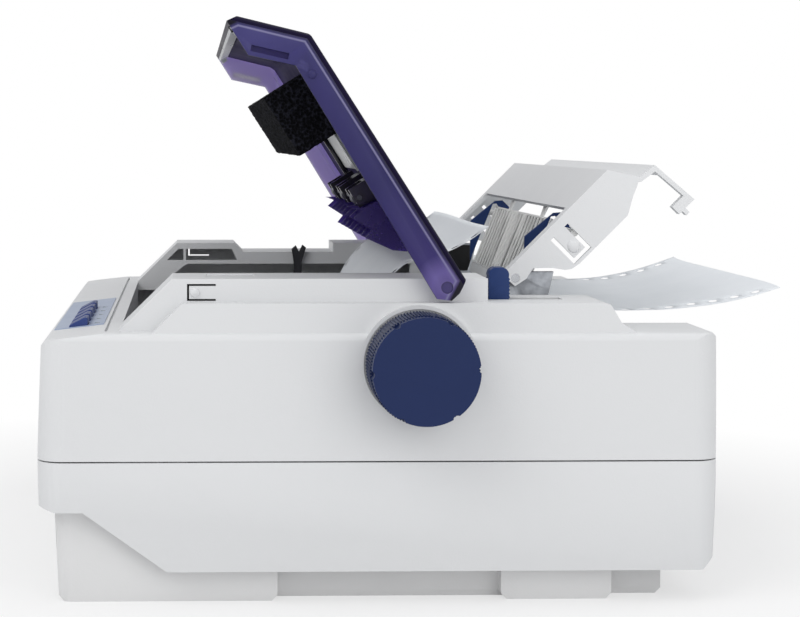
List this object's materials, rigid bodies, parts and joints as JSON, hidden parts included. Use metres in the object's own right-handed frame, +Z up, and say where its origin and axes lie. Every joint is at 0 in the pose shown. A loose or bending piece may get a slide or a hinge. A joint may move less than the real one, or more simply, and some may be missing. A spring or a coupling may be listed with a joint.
{
  "type": "dot matrix printer",
  "caption": "Desktop dot matrix printer with opening access cover, raised rear paper cover, platen knob, tractor feed and moving print head.",
  "frame": {"origin": "on the resting plane, at the middle of the case's width and depth", "axes": "+X to the printer's right (the platen knob's side), +Y to the rear, +Z up"},
  "size_m": [0.453, 0.4131, 0.3064],
  "materials": {
    "case_grey": "fine moulded texture",
    "rubber_black": "matt",
    "screw_steel": "plated",
    "label_blue": "satin overlay film",
    "board_green": "solder mask",
    "lens_green": "clear tinted",
    "button_blue": "satin",
    "cover_violet": "smoked translucent moulding",
    "fin_violet": "translucent moulding",
    "foam_black": "open-cell foam",
    "holder_dark": "satin",
    "roller_grey": "smooth",
    "strip_clear": "clear",
    "pin_steel": "turned",
    "rear_grey": "fine moulded texture",
    "sheet_grey": "ribbed moulding",
    "guide_blue": "satin",
    "lever_blue": "satin",
    "knob_navy": "satin",
    "gear_white": "natural acetal",
    "frame_steel": "galvanised sheet",
    "head_metal": "die cast",
    "ribbon_black": "satin",
    "ribbon_blue": "satin",
    "belt_black": "matt",
    "pulley_light": "turned",
    "motor_metal": "black plated",
    "shield_steel": "pressed sheet",
    "socket_black": "satin",
    "paper_white": "uncoated paper"
  },
  "bodies": {
    "case": {"lower_case": "case_grey", "plinth": "case_grey", "rubber_feet": "rubber_black", "upper_case": "case_grey", "case_screws": "screw_steel", "panel_label": "label_blue", "panel_board": "board_green", "indicator_lenses": "lens_green", "cover_hinge_pins": "pin_steel", "rear_hinge_pins": "pin_steel", "release_shaft": "pin_steel", "platen_bushes": "gear_white", "side_frame_left": "frame_steel", "side_frame_right": "frame_steel", "chassis_tray": "frame_steel", "carriage_rod": "pin_steel", "guide_rail": "frame_steel", "ribbon_cartridge": "ribbon_black", "timing_belt": "belt_black", "carriage_motor": "motor_metal", "feed_motor": "motor_metal", "tractor_rod": "pin_steel", "main_board": "board_green", "power_supply": "shield_steel", "power_inlet": "socket_black", "interface_port": "shield_steel", "paper_infeed": "paper_white", "paper_exit": "paper_white"},
    "access_cover": {"access_cover": "cover_violet", "cover_fins": "fin_violet", "cover_foam": "foam_black", "roller_holders": "holder_dark", "cover_strip": "strip_clear"},
    "paper_rollers": {"paper_rollers": "roller_grey"},
    "rear_cover": {"rear_cover": "rear_grey", "sheet_plate": "sheet_grey"},
    "sheet_guide_left": {"sheet_guide_left": "guide_blue"},
    "sheet_guide_right": {"sheet_guide_right": "guide_blue"},
    "release_lever": {"release_lever": "lever_blue"},
    "platen": {"platen_knob": "knob_navy", "platen_roller": "rubber_black", "platen_shaft": "pin_steel", "platen_gear": "gear_white"},
    "idler_gear": {"idler_gear": "gear_white"},
    "tractor_drive": {"tractor_shaft": "pin_steel"},
    "feed_pinion": {"feed_pinion": "gear_white"},
    "carriage": {"carriage": "holder_dark", "print_head": "head_metal"},
    "drive_pulley": {"drive_pulley": "pulley_light"},
    "idler_pulley": {"idler_pulley": "pulley_light"},
    "ribbon_knob": {"ribbon_knob": "ribbon_blue"},
    "head_gap_lever": {"head_gap_lever": "holder_dark"},
    "tractor_left": {"tractor_left": "holder_dark"},
    "tractor_right": {"tractor_right": "holder_dark"},
    "power_switch": {"power_switch": "socket_black"},
    "panel_button_1": {"panel_button_1": "button_blue"},
    "panel_button_2": {"panel_button_2": "button_blue"},
    "panel_button_3": {"panel_button_3": "button_blue"},
    "panel_button_4": {"panel_button_4": "button_blue"},
    "panel_button_5": {"panel_button_5": "button_blue"}
  },
  "joints": [
    {"name": "access_cover_hinge", "type": "hinge", "parent": "case", "child": "access_cover", "pos_m": [0, 0.0349, 0.1652], "axis": [1, 0, 0], "range_deg": [0, 57.6], "deforming": ["paper_exit"]},
    {"name": "rear_cover_hinge", "type": "hinge", "parent": "case", "child": "rear_cover", "pos_m": [0, 0.08, 0.166], "axis": [1, 0, 0], "range_deg": [-45, 0], "deforming": ["paper_infeed"]},
    {"name": "paper_rollers_spin", "type": "hinge", "parent": "access_cover", "child": "paper_rollers", "pos_m": [0, -0.00058, 0.20842], "axis": [1, 0, 0], "continuous": true},
    {"name": "sheet_guide_right_slide", "type": "slide", "parent": "rear_cover", "child": "sheet_guide_right", "axis": [1, 0, 0], "range_m": [-0.034, 0.02]},
    {"name": "sheet_guide_left_slide", "type": "slide", "parent": "rear_cover", "child": "sheet_guide_left", "axis": [-1, 0, 0], "range_m": [-0.034, 0.02]},
    {"name": "release_lever_tilt", "type": "hinge", "parent": "case", "child": "release_lever", "pos_m": [0, 0.066, 0.072], "axis": [-1, 0, 0], "range_deg": [0, 14]},
    {"name": "platen_spin", "type": "hinge", "parent": "case", "child": "platen", "pos_m": [0, 0.0202, 0.1252], "axis": [1, 0, 0], "continuous": true},
    {"name": "idler_gear_spin", "type": "hinge", "parent": "case", "child": "idler_gear", "pos_m": [0, 0.0711, 0.11387], "axis": [1, 0, 0], "continuous": true},
    {"name": "tractor_spin", "type": "hinge", "parent": "case", "child": "tractor_drive", "pos_m": [0, 0.1122, 0.13], "axis": [1, 0, 0], "continuous": true},
    {"name": "feed_pinion_spin", "type": "hinge", "parent": "case", "child": "feed_pinion", "pos_m": [0, 0.05153, 0.07996], "axis": [1, 0, 0], "continuous": true},
    {"name": "carriage_slide", "type": "slide", "parent": "case", "child": "carriage", "axis": [1, 0, 0], "range_m": [-0.1016, 0.1016]},
    {"name": "drive_pulley_spin", "type": "hinge", "parent": "case", "child": "drive_pulley", "pos_m": [0.118, -0.014, 0.091], "axis": [0, 0, 1], "continuous": true},
    {"name": "idler_pulley_spin", "type": "hinge", "parent": "case", "child": "idler_pulley", "pos_m": [-0.118, -0.014, 0.091], "axis": [0, 0, 1], "continuous": true},
    {"name": "ribbon_knob_spin", "type": "hinge", "parent": "case", "child": "ribbon_knob", "pos_m": [-0.096, -0.073, 0.134], "axis": [0, 0, 1], "continuous": true},
    {"name": "head_gap_tilt", "type": "hinge", "parent": "case", "child": "head_gap_lever", "pos_m": [0, -0.023, 0.105], "axis": [-1, 0, 0], "range_deg": [-8, 8]},
    {"name": "tractor_right_slide", "type": "slide", "parent": "case", "child": "tractor_right", "axis": [1, 0, 0], "range_m": [-0.05, 0.012]},
    {"name": "tractor_left_slide", "type": "slide", "parent": "case", "child": "tractor_left", "axis": [-1, 0, 0], "range_m": [-0.05, 0.012]},
    {"name": "power_switch_rock", "type": "hinge", "parent": "case", "child": "power_switch", "pos_m": [-0.172, 0.173, 0.046], "axis": [1, 0, 0], "range_deg": [0, 18]},
    {"name": "panel_button_1_press", "type": "slide", "parent": "case", "child": "panel_button_1", "axis": [0, 0, -1], "range_m": [0, 0.001], "stiffness_N_per_m": 300, "springref_m": -0.001},
    {"name": "panel_button_2_press", "type": "slide", "parent": "case", "child": "panel_button_2", "axis": [0, 0, -1], "range_m": [0, 0.001], "stiffness_N_per_m": 300, "springref_m": -0.001},
    {"name": "panel_button_3_press", "type": "slide", "parent": "case", "child": "panel_button_3", "axis": [0, 0, -1], "range_m": [0, 0.001], "stiffness_N_per_m": 300, "springref_m": -0.001},
    {"name": "panel_button_4_press", "type": "slide", "parent": "case", "child": "panel_button_4", "axis": [0, 0, -1], "range_m": [0, 0.001], "stiffness_N_per_m": 300, "springref_m": -0.001},
    {"name": "panel_button_5_press", "type": "slide", "parent": "case", "child": "panel_button_5", "axis": [0, 0, -1], "range_m": [0, 0.001], "stiffness_N_per_m": 300, "springref_m": -0.001}
  ],
  "couplings": [
    {"joint": "idler_gear_spin", "follows": "platen_spin", "ratio": -0.625},
    {"joint": "tractor_spin", "follows": "platen_spin", "ratio": 1.6667},
    {"joint": "feed_pinion_spin", "follows": "platen_spin", "ratio": 2.8571},
    {"joint": "drive_pulley_spin", "follows": "carriage_slide", "rad_per_m": 125},
    {"joint": "idler_pulley_spin", "follows": "carriage_slide", "rad_per_m": 125}
  ]
}
